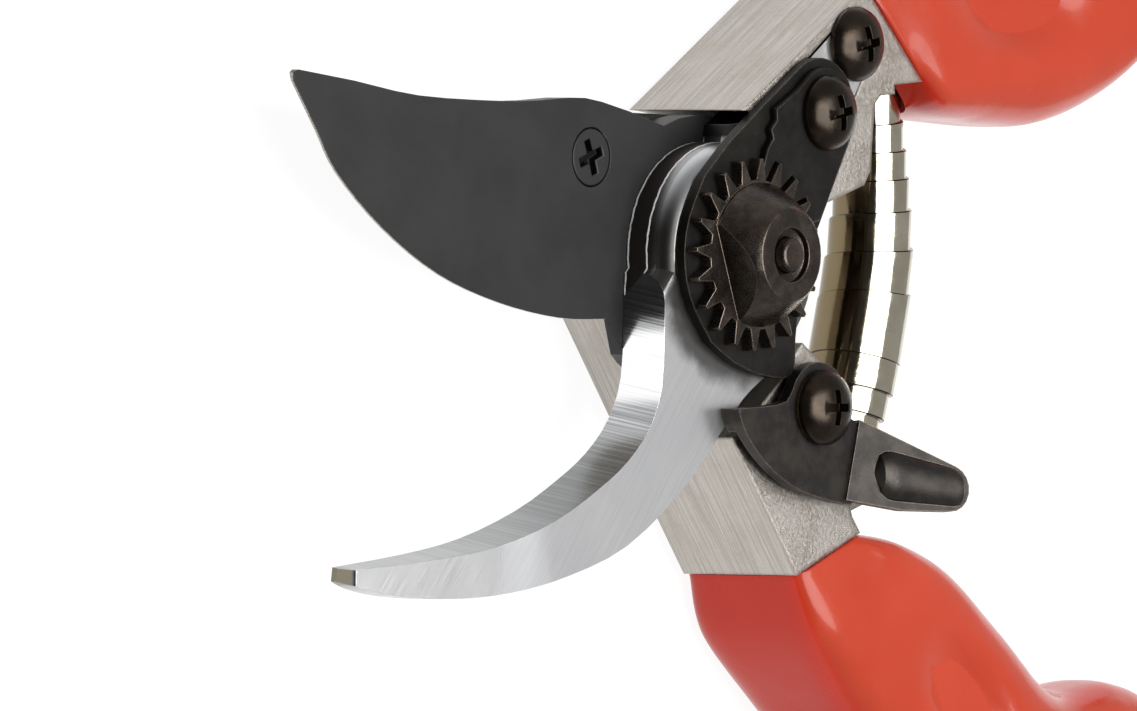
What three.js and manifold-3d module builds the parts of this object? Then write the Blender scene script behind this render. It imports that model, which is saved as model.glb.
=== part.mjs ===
// Bypass pruning shears, in millimetres, lying on their back with the nut side up (+Z).
// X runs from the jaws (-X) to the handles (+X), Y across the jaws towards the blade.
// The origin is on the pivot's axis, on the plane that the shears rest on.

import * as THREE from 'three';
import { mergeVertices } from 'three/addons/utils/BufferGeometryUtils.js';
import Module from 'manifold-3d';

const wasm = await Module();
wasm.setup();

// ---------- Driving dimensions ----------

const CONTACT_Z = 11.8;      // the plane where the blade slides under the hook
const SLIDE_GAP = 0.05;      // running clearance between blade and hook
const BLADE_T = 3.45;
const HOOK_T = 5.7;
const FORGED_BACK_Z = 1.8;   // back face of both aluminium handles
const HEAD_BACK_Z = 1.9;     // back face of the lower handle's head round the pivot
const PLATE_T = 1.2;
const GEAR_T = 1.4;
const SEGMENT_T = 0.9;
const NUT_T = 4.6;
const BOLT_END = 0.4;        // how far the bolt stands out of the nut
const GRIP_MID_Z = 9.65;     // the mid plane of handles and spring
const GRIP_HALF_T = 9.65;
const MOUTH_HALF_T = 8.3;
const CLEARANCE = 0.1;       // between a shank and its hole
const GAP = 0.25;            // between a grip and the handle inside it

const FRONT_Z = CONTACT_Z + HOOK_T;
const PLATE_Z = FRONT_Z + PLATE_T;
const GEAR_Z = PLATE_Z + GEAR_T;
const NUT_Z = GEAR_Z + NUT_T;
const BLADE_Z = CONTACT_Z - SLIDE_GAP;
const BLADE_BACK_Z = BLADE_Z - BLADE_T;

const BOLT_R = 5;
const BUSH_R = 6.6;
const HEAD_R = 14.9;         // blade and handle head round the pivot
const SWEEP_R = 15.4;        // the upper handle keeps outside this radius
const HOOK_HEAD_R = 12.4;

const BLADE_SCREW = [-17.95, 10.3];
const TAIL_ANGLE = 50;       // direction of the hook's tail, seen from the pivot
const SEGMENT_SCREW = polar(19.3, TAIL_ANGLE + 2);
const TAIL_SCREW = polar(29.5, TAIL_ANGLE);
const LATCH_SCREW = [10.4, -16.3];
const M4_R = 2;
const PAN_R = 4.05;
const PAN_H = 2.4;

// The handles' outlines are drawn with the shears closed. Opened, each handle is turned by its own angle.
const UPPER_OPEN = 8.2;
const LOWER_OPEN = -36.8;
const GRIP_T = 1.7;

// ---------- Outlines ----------

function polar(radius, degrees, [x, y] = [0, 0]) {
  const angle = THREE.MathUtils.degToRad(degrees);
  return [x + radius * Math.cos(angle), y + radius * Math.sin(angle)];
}

function arc(centre, radius, from, to, steps) {
  return Array.from({ length: steps + 1 }, (_, i) => polar(radius, from + ((to - from) * i) / steps, centre));
}

// A smooth line through the points, with the given number of steps between neighbours.
function smooth(points, steps) {
  const curve = new THREE.SplineCurve(points.map(([x, y]) => new THREE.Vector2(x, y)));
  return curve.getPoints(steps * (points.length - 1)).map((p) => [p.x, p.y]);
}

// A point on a smooth line, which runs straight on past its ends: t is 0 at one end and 1 at the other.
function pointOn(curve, t) {
  const inside = THREE.MathUtils.clamp(t, 0, 1);
  const past = (t - inside) * curve.getLength();
  return curve.getPoint(inside).add(curve.getTangent(inside).multiplyScalar(past));
}

function turn(points, degrees) {
  return points.map(([x, y]) => polar(Math.hypot(x, y), THREE.MathUtils.radToDeg(Math.atan2(y, x)) + degrees));
}

// ---------- Solids ----------

function solid(geometry) {
  geometry.deleteAttribute('normal');
  geometry.deleteAttribute('uv');
  const merged = mergeVertices(geometry, 1e-4);
  return new wasm.Manifold(new wasm.Mesh({
    numProp: 3,
    vertProperties: Float32Array.from(merged.attributes.position.array),
    triVerts: Uint32Array.from(merged.index.array),
  }));
}

function extruded(points, low, high, options = {}) {
  const shape = new THREE.Shape(points.map(([x, y]) => new THREE.Vector2(x, y)));
  const geometry = new THREE.ExtrudeGeometry(shape, { depth: high - low, bevelEnabled: false, ...options });
  geometry.translate(0, 0, low);
  return solid(geometry);
}

// A solid of revolution about a line along Z. The profile is [radius, z] and starts and ends on the axis.
function turned([x, y], profile, sides = 28) {
  const geometry = new THREE.LatheGeometry(profile.map(([r, z]) => new THREE.Vector2(r, z)), sides);
  geometry.rotateX(Math.PI / 2);
  geometry.translate(x, y, 0);
  return solid(geometry);
}

function rod(centre, radius, low, high, sides) {
  return turned(centre, [[0, low], [radius, low], [radius, high], [0, high]], sides);
}

function ring(centre, inner, outer, low, high) {
  return turned(centre, [[inner, low], [outer, low], [outer, high], [inner, high], [inner, low]]);
}

function box([x0, y0, z0], [x1, y1, z1]) {
  const geometry = new THREE.BoxGeometry(x1 - x0, y1 - y0, z1 - z0);
  geometry.translate((x0 + x1) / 2, (y0 + y1) / 2, (z0 + z1) / 2);
  return solid(geometry);
}

// Bends a unit cylinder into a body: place(s, angle, edge) gives a point for s along it from 0 to 1.
// The edge value is 0 in the middle of an end cap and 1 on the skin.
function bent(sides, steps, place) {
  const geometry = new THREE.CylinderGeometry(1, 1, 1, sides, steps);
  const position = geometry.attributes.position;
  for (let i = 0; i < position.count; i += 1) {
    const angle = Math.atan2(position.getZ(i), position.getX(i));
    const edge = Math.hypot(position.getX(i), position.getZ(i));
    position.setXYZ(i, ...place(position.getY(i) + 0.5, angle, edge));
  }
  return solid(geometry);
}

// Pushes a circle's coordinate out towards a square: a power of 1 leaves it round.
function squared(x, power) {
  return Math.abs(x) < 1e-5 ? 0 : Math.sign(x) * Math.abs(x) ** power;
}

// A handle between its left and right outline, seen from its mouth: square at the mouth, then ever rounder.
function handle(left, right, openAngle, inset, { sides, steps, start = 0 }) {
  const handleLength = 135;
  const mouthCorner = 0.28;
  const gripCorner = 0.72;
  const roundedFrom = 0.93;    // the end is rounded over the last part of the length
  const roundedTo = 0.93;      // a quarter circle would reach 1, and this stops short with a small flat
  const leftLine = new THREE.SplineCurve(turn(left, openAngle).map(([x, y]) => new THREE.Vector2(x, y)));
  const rightLine = new THREE.SplineCurve(turn(right, openAngle).map(([x, y]) => new THREE.Vector2(x, y)));
  return bent(sides, steps, (s, angle, edge) => {
    const along = THREE.MathUtils.lerp(start, 1, s);
    const t = along * (1 - inset / handleLength);    // an inset body stops short of the grip's end
    const a = pointOn(leftLine, t);
    const b = pointOn(rightLine, t);
    const half = a.distanceTo(b) / 2 - inset;
    const roundEnd = Math.sqrt(1 - (roundedTo * Math.max(0, (s - roundedFrom) / (1 - roundedFrom))) ** 2);
    const corner = THREE.MathUtils.lerp(mouthCorner, gripCorner, THREE.MathUtils.smoothstep(t, 0, 0.4));
    const halfT = THREE.MathUtils.lerp(MOUTH_HALF_T, GRIP_HALF_T, THREE.MathUtils.smoothstep(t, 0, 0.12));
    const across = squared(Math.cos(angle), corner) * half * roundEnd * edge;
    const up = squared(Math.sin(angle), corner) * (halfT - inset) * roundEnd * edge;
    const side = b.clone().sub(a).normalize();
    const mid = a.clone().add(b).multiplyScalar(0.5);
    return [mid.x + side.x * across, mid.y + side.y * across, GRIP_MID_Z + up];
  });
}

// A cross recess for a screwdriver, cut down from the top of a head.
function crossRecess([x, y], top, depth, size, degrees) {
  const bars = [0, 90].map((angle) => {
    const bar = new THREE.BoxGeometry(2 * size, 0.9, 2 * depth);
    bar.rotateZ(THREE.MathUtils.degToRad(angle + degrees));
    bar.translate(x, y, top);
    return solid(bar);
  });
  return bars[0].add(bars[1]);
}

function panScrew(centre, seat, tip, degrees) {
  const head = [[PAN_R, seat], [PAN_R, seat + 0.55], [3.75, seat + 1.15], [3.1, seat + 1.7], [2.2, seat + 2.1],
    [1.1, seat + 2.33], [0, seat + PAN_H]];
  const profile = [[0, tip], [M4_R, tip], [M4_R, seat], ...head];
  return turned(centre, profile).subtract(crossRecess(centre, seat + PAN_H, 1.6, 1.9, degrees));
}

// ---------- Jaws ----------

function cuttingBlade() {
  const edge = [[-67, 18.1], [-63.3, 13.2], [-59.7, 8.4], [-52.2, 2.6], [-43.1, -2.2], [-33.1, -5.2],
    [-23.1, -6.8], [-15.3, -6.9]];
  const back = [[-11.5, 15.2], [-18.9, 16.6], [-26.4, 16.3], [-33.1, 16.2], [-46.4, 16.7], [-57, 18.2],
    [-66, 19.3]];
  const heel = [-12.3, -10.7];
  const tip = [-67, 19];
  const head = arc([0, 0], HEAD_R, -128, 113, 24);
  const outline = [...smooth(edge, 4), heel, ...head, ...smooth(back, 3), tip];
  const bevelWidth = 6;
  const edgeLand = 0.4;
  const ground = [[-80, 40], ...smooth(edge, 4), [-15.3, -30], [30, -30], [30, 40]];
  const grinding = extruded(ground, BLADE_BACK_Z + BLADE_T - edgeLand, CONTACT_Z + 5, {
    bevelEnabled: true, bevelThickness: BLADE_T - edgeLand, bevelSize: bevelWidth, bevelOffset: -bevelWidth,
    bevelSegments: 1,
  });
  return extruded(outline, BLADE_BACK_Z, BLADE_Z)
    .intersect(grinding)
    .subtract(rod([0, 0], BUSH_R + CLEARANCE, 0, FRONT_Z))
    .subtract(turned(BLADE_SCREW, [[0, 0], [M4_R + CLEARANCE, 0], [M4_R + CLEARANCE, 9.9], [3.2, 10.6],
      [3.2, FRONT_Z], [0, FRONT_Z]]));
}

// The blade is held by a flush screw from the front and a countersunk nut from the back.
function bladeScrew() {
  const profile = [[0, 4.5], [M4_R, 4.5], [M4_R, 9.95], [3.1, 10.65], [3.1, BLADE_Z], [0, BLADE_Z]];
  return turned(BLADE_SCREW, profile).subtract(crossRecess(BLADE_SCREW, BLADE_Z, 0.9, 1.9, 20));
}

function bladeNut() {
  const bore = M4_R + CLEARANCE / 2;
  const back = HEAD_BACK_Z + 0.2;
  const profile = [[bore, back], [3.9, back], [3.9, 3.15], [2.8, 4.35], [2.8, 6.1], [bore, 6.1], [bore, back]];
  return turned(BLADE_SCREW, profile);
}

const TAIL_END_R = 3;
const HOOK_TAIL_LEFT = [[-2.4, 12.7], [1.6, 14.2], [11.6, 21], polar(TAIL_END_R, 140, polar(30, TAIL_ANGLE))];
const HOOK_TAIL_RIGHT = [polar(TAIL_END_R, -40, polar(30, TAIL_ANGLE)), [19.3, 17.3], [13.6, 10.2], [11.4, 4.9]];

function hookBlade() {
  const inner = [[-60.3, -33.1], [-49, -31.8], [-39.7, -30.2], [-30.4, -27.3], [-23.4, -24], [-18.6, -21.1],
    [-15, -17.6], [-12.9, -13.1], [-12.5, -6.2]];
  const head = [[-12.5, -6.2], [-12.3, 0], [-11.2, 5], [-8.6, 8.8], [-5.6, 11.2], [-2.4, 12.7]];
  const outer = [polar(HOOK_HEAD_R + 1.4, -72.5), [0.7, -15.4], [-3.4, -19.4], [-9.2, -25], [-18.5, -31],
    [-28, -34.1], [-37.3, -35.9], [-45.5, -36.5], [-53, -36.2], [-58.2, -35.4], [-60.5, -34.6]];
  const outline = [
    ...smooth(inner, 3),
    ...smooth(head, 2).slice(1),
    ...HOOK_TAIL_LEFT.slice(1),
    ...arc(polar(30, TAIL_ANGLE), TAIL_END_R, 140, -40, 8).slice(1),
    ...smooth(HOOK_TAIL_RIGHT, 2).slice(1),
    ...arc([0, 0], HOOK_HEAD_R, 12, -58, 8),
    ...smooth(outer, 3),
  ];
  const leanBack = 1;          // towards the front, the ground inner face leans away from the jaw by this
  const gapSide = [...smooth(inner, 3), [-13.2, -2], [-14.5, 5], [-80, 5], [-80, -32.4]].reverse();
  const lean = new THREE.Matrix4().makeShear(0, 0, 0, 0, 0, -leanBack / HOOK_T);
  const innerFace = extruded(gapSide, 0, HOOK_T + 1)
    .transform(lean.toArray())
    .translate([0, 0, CONTACT_Z]);
  // The head's rim is rounded from here up to the front, and the rounding runs out at the ground face.
  const rimZ = FRONT_Z - 3.1;
  const rimIn = 2;
  const kept = [...arc([0, 0], 12, 88, 187, 16), [-16, -6], [-80, -6], [-80, -60], [60, -60], [60, 60], [9, 60]];
  const rim = extruded(kept, 0, rimZ, {
    bevelEnabled: true, bevelThickness: FRONT_Z - rimZ, bevelSize: rimIn, bevelOffset: -rimIn, bevelSegments: 4,
  });
  // Seen from the side, the hook thins towards its tip, which is bevelled.
  const thinning = smooth([[-59.2, 2.4], [-54, 3.1], [-47, 4.1], [-40, 5], [-33, 5.6], [-27, HOOK_T]], 3);
  const side = [[-60.7, 0], [-60.6, 0.4], [-59.4, 2.2], ...thinning, [60, HOOK_T], [60, 0]];
  const taper = extruded(side, -60, 60).rotate([90, 0, 0]).translate([0, 0, CONTACT_Z]);
  return extruded(outline, CONTACT_Z, FRONT_Z)
    .subtract(innerFace)
    .intersect(rim)
    .intersect(taper)
    .subtract(rod([0, 0], BOLT_R + CLEARANCE, 0, 40))
    .subtract(rod(SEGMENT_SCREW, M4_R + CLEARANCE, 0, 40))
    .subtract(rod(TAIL_SCREW, M4_R + CLEARANCE, 0, 40));
}

// ---------- Handles ----------

const UPPER_OUTER = [[24.8, 25.5], [34, 29.2], [46, 31], [60, 31], [76, 29.6], [93, 27.3], [110, 24.8],
  [128, 21.2], [142, 17], [151, 12.5]];
const UPPER_INNER = [[33, 14.1], [36.5, 10.3], [44.5, 8.1], [56, 6.1], [66, 7.7], [78, 13.1], [94, 13.2],
  [114, 11], [132, 9], [147, 8]];
const LOWER_OUTER = [[28.5, -21.5], [35, -25.3], [45.2, -27.2], [58, -28.6], [70, -29.2], [80, -29],
  [88, -28.5], [98, -27.4], [112, -25.4], [130, -21.5], [149, -13.5]];
const LOWER_INNER = [[34.3, -11.5], [40.5, -8], [50, -4.7], [62, -3.7], [74.5, -3], [82.5, 4.2], [91, 6],
  [101, -2], [113, -7], [130, -8], [148, -7]];

const SPRING_LINE = [[31.6, 19.6], [31.8, 11.8], [31.5, 1.5], [30.8, -3.5], [29.2, -10.2], [28.1, -13.9],
  [26.7, -18.6], [25.4, -22.2]];
const SEAT_LOW = [25.4, -22.7];
const SEAT_LEAN = -16;       // the lower seat's tilt from level, seen from the nut side
const SEAT_TOP_Y = 20;

function springPocket() {
  const pocketR = 3.6;
  return rod([0, 0], pocketR, 0, 14).rotate([90, 0, 0]).translate([31.7, SEAT_TOP_Y, GRIP_MID_Z]);
}

function upperForging() {
  const outline = [
    ...arc([0, 0], SWEEP_R, 21, 89, 12),
    ...turn([UPPER_OUTER[0]], UPPER_OPEN),
    ...turn([UPPER_INNER[0]], UPPER_OPEN),
    [25.9, 18.3], [26, 17.3], [23.6, 17.1], [22.6, 16.2], [21.9, 9], [20.9, 7.5],
  ];
  const pocket = [
    [-3, 12.7], ...HOOK_TAIL_LEFT.slice(2).map(([x, y]) => [x - 0.2, y + 0.2]),
    ...arc(polar(30, TAIL_ANGLE), TAIL_END_R + 0.2, 140, -40, 8).slice(1),
    [19.5, 17.2], [13.8, 10], [12, 3], [0, 0],
  ];
  return extruded(outline, FORGED_BACK_Z, FRONT_Z)
    .add(handle(UPPER_OUTER, UPPER_INNER, UPPER_OPEN, GRIP_T + GAP, { sides: 16, steps: 20, start: -0.02 }))
    .subtract(extruded(pocket, CONTACT_Z - 0.05, FRONT_Z + 5))
    .subtract(springPocket())
    .subtract(rod(SEGMENT_SCREW, M4_R + CLEARANCE, 4, 40))
    .subtract(rod(TAIL_SCREW, M4_R + CLEARANCE, 4, 40))
    .subtract(upperPegHole());
}

function upperGrip() {
  return handle(UPPER_OUTER, UPPER_INNER, UPPER_OPEN, 0, { sides: 20, steps: 24, start: 0.002 })
    .subtract(handle(UPPER_OUTER, UPPER_INNER, UPPER_OPEN, GRIP_T, { sides: 16, steps: 20, start: -0.02 }))
    .subtract(springPocket());
}

function lowerForging() {
  const mouth = turn([LOWER_OUTER[0], LOWER_INNER[0]], LOWER_OPEN);
  const outerEdge = [[-10.5, -7.2], [-1.3, -19.5], mouth[0]];
  const innerEdge = [[19.2, -28], [17.6, -23.5], [16.6, -18], [15.6, -13.5], [13.4, -11.3]];
  const bossTop = arc(BLADE_SCREW, 5.2, 100, 215, 8);
  const head = [...arc([0, 0], HEAD_R, -40, 92, 14), ...bossTop, ...outerEdge, mouth[1], ...innerEdge];
  const ledge = [
    ...arc([0, 0], SWEEP_R, -97, -43, 8).reverse(), ...outerEdge.slice(1), mouth[1], ...innerEdge,
  ];
  const shoulder = [
    [0.4, -19.4], ...outerEdge.slice(1), mouth[1], ...innerEdge,
    [10.6, -9.4], [8.8, -11.2], [6.8, -13.7], [4.3, -15.6],
  ];
  const seat = [[17, -21], [20.6, -21.3], [29.4, -23.8], [27.6, -26.2], [21.3, -28.2], [18.5, -28]];
  return extruded(head, HEAD_BACK_Z, BLADE_BACK_Z)
    .add(extruded(ledge, FORGED_BACK_Z, CONTACT_Z - SLIDE_GAP))
    .add(extruded(shoulder, CONTACT_Z - 0.2, FRONT_Z)
      .subtract(rod([0, 0], SWEEP_R, CONTACT_Z - 1, CONTACT_Z + 0.3, 40)))
    .add(extruded(seat, GRIP_MID_Z - 4, GRIP_MID_Z + 4))
    .add(handle(LOWER_INNER, LOWER_OUTER, LOWER_OPEN, GRIP_T + GAP, { sides: 16, steps: 22, start: -0.02 }))
    .subtract(rod([0, 0], BUSH_R + CLEARANCE, 0, CONTACT_Z))
    .subtract(rod(BLADE_SCREW, M4_R + CLEARANCE, 0, CONTACT_Z))
    .subtract(turned(BLADE_SCREW, [[0, 0], [4.1, 0], [4.1, 3.2], [2.95, 4.4], [2.95, 6.2], [0, 6.2]]))
    .subtract(rod(LATCH_SCREW, M4_R + CLEARANCE, 6, 40))
    .subtract(lowerPegHole());
}

function lowerGrip() {
  return handle(LOWER_INNER, LOWER_OUTER, LOWER_OPEN, 0, { sides: 20, steps: 26, start: 0.002 })
    .subtract(handle(LOWER_INNER, LOWER_OUTER, LOWER_OPEN, GRIP_T, { sides: 16, steps: 22, start: -0.02 }));
}

// ---------- Pivot ----------

function pivotBolt() {
  const headR = 8.6;
  const headT = 1.5;
  const end = NUT_Z + BOLT_END;
  return turned([0, 0], [[0, 0], [headR - 1, 0], [headR, 0.7], [headR, headT], [BOLT_R, headT],
    [BOLT_R, PLATE_Z], [3.9, PLATE_Z], [3.9, GEAR_Z + 1], [1.85, NUT_Z - 1.5], [1.85, end - 0.3],
    [1.55, end], [0, end]]);
}

function pivotBush() {
  return ring([0, 0], BOLT_R + CLEARANCE / 2, BUSH_R, HEAD_BACK_Z, BLADE_Z - 0.1);
}

function gearOutline(clearance) {
  const teeth = 20;
  const tipR = 10.3 + clearance;
  const rootR = 8 + clearance;
  const firstTooth = -3;
  const tooth = [[rootR, -5.8], [tipR, -1.3], [tipR, 1.3], [rootR, 5.8]];
  const spread = (r) => THREE.MathUtils.radToDeg(clearance / r);
  return Array.from({ length: teeth }, (_, i) => i).flatMap((i) => {
    const middle = 180 + firstTooth + (i * 360) / teeth;
    return tooth.map(([r, a]) => polar(r, middle + a + Math.sign(a) * spread(r)));
  });
}

function toothedNut() {
  const bore = [[0, 0], [BOLT_R + CLEARANCE, 0], [BOLT_R + CLEARANCE, PLATE_Z], [4, PLATE_Z],
    [4, GEAR_Z + 1.1], [1.95, NUT_Z - 1.4], [1.95, NUT_Z - 0.8], [2.9, NUT_Z - 0.7], [2.9, 40], [0, 40]];
  const cone = turned([0, 0], [[0, GEAR_Z - 0.5], [7.7, GEAR_Z - 0.5], [7.7, GEAR_Z + 0.5], [6.6, GEAR_Z + 2.4],
    [5.4, NUT_Z - 0.5], [4.9, NUT_Z], [0, NUT_Z]], 36);
  const flatsAt = 200;
  const acrossFlats = new THREE.BoxGeometry(11, 30, 2 * NUT_T);
  acrossFlats.rotateZ(THREE.MathUtils.degToRad(flatsAt));
  acrossFlats.translate(0, 0, NUT_Z);
  return extruded(gearOutline(0), PLATE_Z, GEAR_Z)
    .add(cone.intersect(solid(acrossFlats)))
    .subtract(turned([0, 0], bore));
}

const PLATE_OUTLINE = [
  ...arc([0, 0], 10.7, 150, 222, 8),
  ...smooth([[-6.1, -9.4], [-2.3, -11.5], [2, -12.8], [5.6, -13.2]], 2),
  ...arc([5.9, -11.1], 2.1, -80, 5, 4),
  ...smooth([[8, -9], [8.6, -5], [9.7, -0.4], [11.8, 3.1]], 2),
  ...arc(SEGMENT_SCREW, 5.9, -30, 125, 12),
  [1.6, 15.4], [-3.4, 11.9], [-7.4, 8.4],
];

function coverPlate() {
  return extruded(PLATE_OUTLINE, FRONT_Z, PLATE_Z)
    .subtract(rod([0, 0], BOLT_R + CLEARANCE, 0, 40))
    .subtract(rod(SEGMENT_SCREW, M4_R + CLEARANCE, 0, 40));
}

function toothedSegment() {
  const outline = [
    ...arc([0, 0], 8, 22, 84, 10),
    [2.1, 11.4], [3, 12.4], [2.6, 13.4], [3.6, 14.4], [3.5, 15.6], [7, 17.6],
    ...arc(SEGMENT_SCREW, 4.9, 120, -28, 12),
    [12.2, 5.6], [10.8, 3.6],
  ];
  return extruded(outline, PLATE_Z, PLATE_Z + SEGMENT_T)
    .subtract(extruded(gearOutline(0.25), PLATE_Z - 1, PLATE_Z + 3))
    .subtract(rod(SEGMENT_SCREW, M4_R + CLEARANCE, 0, 40));
}

// ---------- Latch ----------

const LATCH_BACK_Z = 18.75;
const LATCH_Z = 20.05;

function thumbLatch() {
  const plate = [
    [-3, -16.4], ...smooth([[-2.9, -17], [-1.9, -18.9], [0.2, -21.1], [3.2, -23.3], [7.4, -25.2],
      [13.1, -26.4]], 3), [16, -26.7], [18, -18.4], [16.1, -17.6],
    ...arc(LATCH_SCREW, 4.9, -10, 160, 10), ...smooth([[5, -15.6], [3.2, -16], [0.5, -16.2]], 2),
  ];
  const tab = [[15, -26.3], [22.5, -27.5], ...arc([28.9, -25.2], 2.5, -95, 68, 8), [17.2, -17.7]];
  const tang = [[-3, -16.4], [-2.9, -17], [-1.9, -18.9], [-0.6, -18.5], [-0.9, -16.4]];
  // The boss is a drop: a round front end that tapers towards the end of the tab.
  const bossLine = new THREE.LineCurve3(new THREE.Vector3(18.7, -23.4, 0), new THREE.Vector3(30.9, -25.3, 0));
  const boss = bent(20, 14, (s, angle, edge) => {
    const taper = THREE.MathUtils.lerp(2.9, 2, s);
    const frontEnd = Math.max(0, 1 - s / 0.22);
    const backEnd = Math.max(0, 1 - (1 - s) / 0.12);
    const r = taper * Math.sqrt(1 - frontEnd ** 2 - backEnd ** 2) * edge;
    const p = bossLine.getPoint(s);
    return [p.x, p.y - r * Math.cos(angle), LATCH_Z - 0.2 + 0.62 * r * Math.sin(angle)];
  }).intersect(box([0, -60, LATCH_BACK_Z + 0.3], [60, 60, 40]));
  const bend = (body) => body
    .translate([-15, 20, -LATCH_BACK_Z])
    .rotate([0, 0, 15]).rotate([0, -15, 0]).rotate([0, 0, -15])
    .translate([15, -20, LATCH_BACK_Z]);
  return extruded(plate, LATCH_BACK_Z, LATCH_Z)
    .add(extruded(tang, FRONT_Z + 0.1, LATCH_Z - 0.2))
    .add(bend(extruded(tab, LATCH_BACK_Z, LATCH_Z).add(boss)))
    .subtract(rod(LATCH_SCREW, M4_R + CLEARANCE, 0, 40));
}

// ---------- Spring ----------

// Each turn reaches down to its Y and has its own radius.
const SPRING_TURNS = [[11.8, 3.15], [9, 3.65], [5.9, 4], [1.7, 4.4], [-3.5, 4.85], [-10.2, 5], [-13.9, 4.6],
  [-16.8, 4.1], [-18.8, 3.8], [-40, 3.4]];

// A tube of stepped turns, each a little wider than the last up to the middle. Its line lies in the mid plane.
function voluteSpring() {
  const line = new THREE.SplineCurve(SPRING_LINE.map(([x, y]) => new THREE.Vector2(x, y)));
  const radiusAt = (y) => SPRING_TURNS.find(([end]) => y >= end)[1];
  const tube = (radius, low, high, steps) => bent(16, steps, (s, angle, edge) => {
    const along = THREE.MathUtils.lerp(low, high, s);
    const onLine = THREE.MathUtils.clamp(along, 0, 1);
    const t = line.getUtoTmapping(onLine);
    const p = pointOn(line, t + along - onLine);
    const ahead = line.getTangent(t);
    const r = radius(p.y) * edge;
    return [p.x + ahead.y * r * Math.cos(angle), p.y - ahead.x * r * Math.cos(angle),
      GRIP_MID_Z + r * Math.sin(angle)];
  });
  return tube(radiusAt, 0, 1, 40).subtract(tube(() => 2.5, -0.05, 1.05, 14));
}

function pegBody(radius, low, high) {
  return turned([0, 0], [[0, low], [radius, low], [radius, high - 0.5], [radius - 0.5, high], [0, high]], 16);
}

// Pegs are drawn standing on Z = 0, then laid along the spring's line at each seat.
function atUpperSeat(body) {
  return body.rotate([90, 0, 0]).translate([31.8, SEAT_TOP_Y, GRIP_MID_Z]);
}

function atLowerSeat(body) {
  return body.rotate([-90, 0, 0]).rotate([0, 0, SEAT_LEAN]).translate([...SEAT_LOW, GRIP_MID_Z]);
}

function upperPegHole() {
  return atUpperSeat(pegBody(2.1, -2.7, 3));
}

function lowerPegHole() {
  return atLowerSeat(pegBody(2.1, -3.2, 3));
}

// ---------- Assembly ----------

const shears = new THREE.Group();

function finish(color, roughness, metalness) {
  return () => new THREE.MeshStandardMaterial({ color, roughness, metalness });
}

const BLACK_STEEL = finish(0x35353a, 0.5, 0.6);
const BRIGHT_STEEL = finish(0xc9ccd0, 0.25, 1);
const CAST_ALUMINIUM = finish(0xb3aea8, 0.45, 0.9);
const RED_DIP = finish(0xd0432c, 0.25, 0);
const BRONZE = finish(0x9a7b56, 0.35, 1);
const NICKEL = finish(0xd8d2bd, 0.15, 1);

function piece(name, body, material) {
  const { vertProperties, triVerts } = body.getMesh();
  const geometry = new THREE.BufferGeometry();
  geometry.setAttribute('position', new THREE.BufferAttribute(Float32Array.from(vertProperties), 3));
  geometry.setIndex(new THREE.BufferAttribute(Uint32Array.from(triVerts), 1));
  geometry.computeVertexNormals();
  const mesh = new THREE.Mesh(geometry, material());
  mesh.name = name;
  shears.add(mesh);
}

piece('lower_handle_forging', lowerForging(), CAST_ALUMINIUM);
piece('lower_grip', lowerGrip(), RED_DIP);
piece('cutting_blade', cuttingBlade(), BLACK_STEEL);
piece('blade_screw', bladeScrew(), BLACK_STEEL);
piece('blade_nut', bladeNut(), BLACK_STEEL);
piece('pivot_bush', pivotBush(), BRONZE);

piece('upper_handle_forging', upperForging(), CAST_ALUMINIUM);
piece('upper_grip', upperGrip(), RED_DIP);
piece('hook_blade', hookBlade(), BRIGHT_STEEL);
piece('hook_tail_screw', panScrew(TAIL_SCREW, FRONT_Z, 5, 10), BLACK_STEEL);
piece('segment_screw', panScrew(SEGMENT_SCREW, PLATE_Z + SEGMENT_T, 5, 10), BLACK_STEEL);
piece('cover_plate', coverPlate(), BLACK_STEEL);
piece('toothed_segment', toothedSegment(), BLACK_STEEL);
piece('pivot_bolt', pivotBolt(), BLACK_STEEL);
piece('toothed_nut', toothedNut(), BLACK_STEEL);
piece('back_washer', ring([0, 0], BOLT_R + CLEARANCE, 8.2, 1.5, HEAD_BACK_Z), BRONZE);

piece('thumb_latch', thumbLatch(), BLACK_STEEL);
piece('latch_screw', panScrew(LATCH_SCREW, LATCH_Z + 0.4, 7, 0), BLACK_STEEL);
piece('latch_washer', ring(LATCH_SCREW, M4_R + CLEARANCE, 3.9, LATCH_Z, LATCH_Z + 0.4), BRONZE);
piece('latch_spring_washer', ring(LATCH_SCREW, M4_R + CLEARANCE, 4.3, FRONT_Z, LATCH_BACK_Z), BLACK_STEEL);

piece('volute_spring', voluteSpring(), NICKEL);
piece('upper_spring_peg', atUpperSeat(pegBody(1.95, -2.5, 5)), BLACK_STEEL);
piece('lower_spring_peg', atLowerSeat(pegBody(1.95, -3, 5)), BLACK_STEEL);

export default shears;
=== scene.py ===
import math

import bmesh
import bpy
from mathutils import Matrix, Vector


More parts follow.
